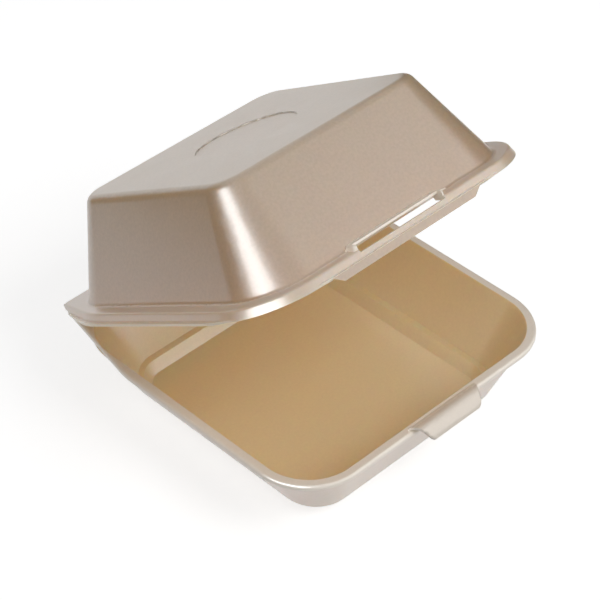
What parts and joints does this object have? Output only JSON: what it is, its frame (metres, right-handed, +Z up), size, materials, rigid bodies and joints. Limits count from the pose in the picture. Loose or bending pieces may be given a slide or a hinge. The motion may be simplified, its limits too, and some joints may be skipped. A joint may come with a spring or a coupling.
{
  "type": "foam clamshell container",
  "caption": "Foam clamshell take-away box, part open: a drafted square tray with a lock tongue, and a domed lid with a slot that turns on a fold along the back.",
  "frame": {"origin": "middle of the tray's flat underside", "axes": "+Z up, out of the tray; +X along the fold; -Y towards the front, where the tongue is"},
  "size_m": [0.1498, 0.1524, 0.1306],
  "materials": {
    "foam_base": "satin gold-beige foam",
    "foam_lid": "satin pearl-beige foam"
  },
  "bodies": {
    "base": {"base": "foam_base"},
    "lid": {"lid": "foam_lid"}
  },
  "joints": [
    {"name": "lid_hinge", "type": "hinge", "parent": "base", "child": "lid", "pos_m": [0, 0.0776, 0.0319], "axis": [-1, 0, 0], "range_deg": [-32.3, 130]}
  ]
}
